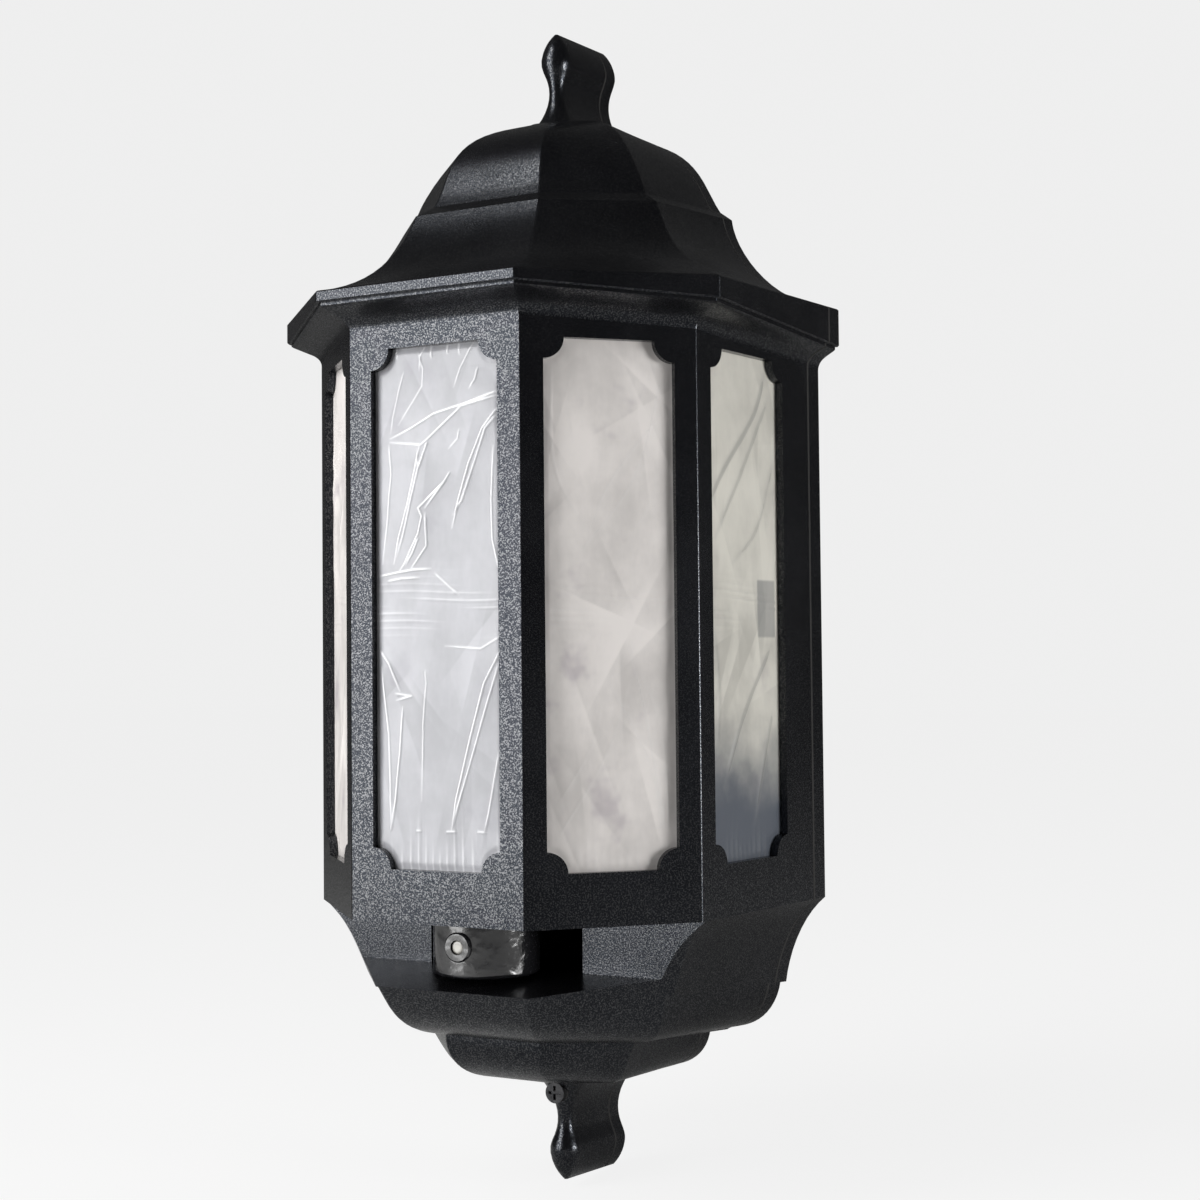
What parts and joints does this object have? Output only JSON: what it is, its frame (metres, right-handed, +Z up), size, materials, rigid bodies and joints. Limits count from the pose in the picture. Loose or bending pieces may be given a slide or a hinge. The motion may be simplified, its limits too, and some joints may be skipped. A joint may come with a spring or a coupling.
{
  "type": "wall light",
  "caption": "Half lantern wall light: faceted moulded cover with ogee roof, scallop-cornered panes, finials and a dusk sensor in a front recess, on a flat wall plate",
  "frame": {"origin": "On the wall plane, midway between the two wall fixing holes, at the middle of the cable entry.", "axes": "+Z up the wall, +Y into the wall, +X to the right for someone who faces the light; the light stands out towards -Y."},
  "size_m": [0.1644, 0.1148, 0.3655],
  "materials": {
    "black_moulding": "black moulded plastic with a fine spark-eroded texture",
    "seal_rubber": "soft black rubber",
    "plated_steel": "zinc plated steel",
    "holder_moulding": "black heat-proof moulding",
    "contact_brass": "plain brass",
    "lamp_opal": "opal globe",
    "terminal_moulding": "natural white moulding",
    "sensor_black": "smooth gloss black moulding",
    "lens_clear": "clear domed window",
    "diffuser_opal": "translucent white sheet"
  },
  "bodies": {
    "wall_unit": {"wall_plate": "black_moulding", "rim_seal": "seal_rubber", "cable_grommet": "seal_rubber", "lamp_bracket": "plated_steel", "bracket_screws": "plated_steel", "lampholder_body": "holder_moulding", "lampholder_ring": "holder_moulding", "lampholder_nut": "contact_brass", "contact_pins": "contact_brass", "lamp": "lamp_opal", "terminal_block": "terminal_moulding", "terminal_screws": "contact_brass", "sensor_barrel": "sensor_black", "photocell_bezel": "sensor_black", "photocell_lens": "lens_clear", "sensor_arm": "sensor_black", "arm_screws": "plated_steel"},
    "cover": {"lantern_cover": "black_moulding", "diffuser": "diffuser_opal", "cover_screw": "plated_steel", "screw_washer": "seal_rubber"}
  },
  "joints": [
    {"name": "cover_pull", "type": "slide", "parent": "wall_unit", "child": "cover", "axis": [0, -1, 0], "range_m": [0, 0.12]}
  ]
}
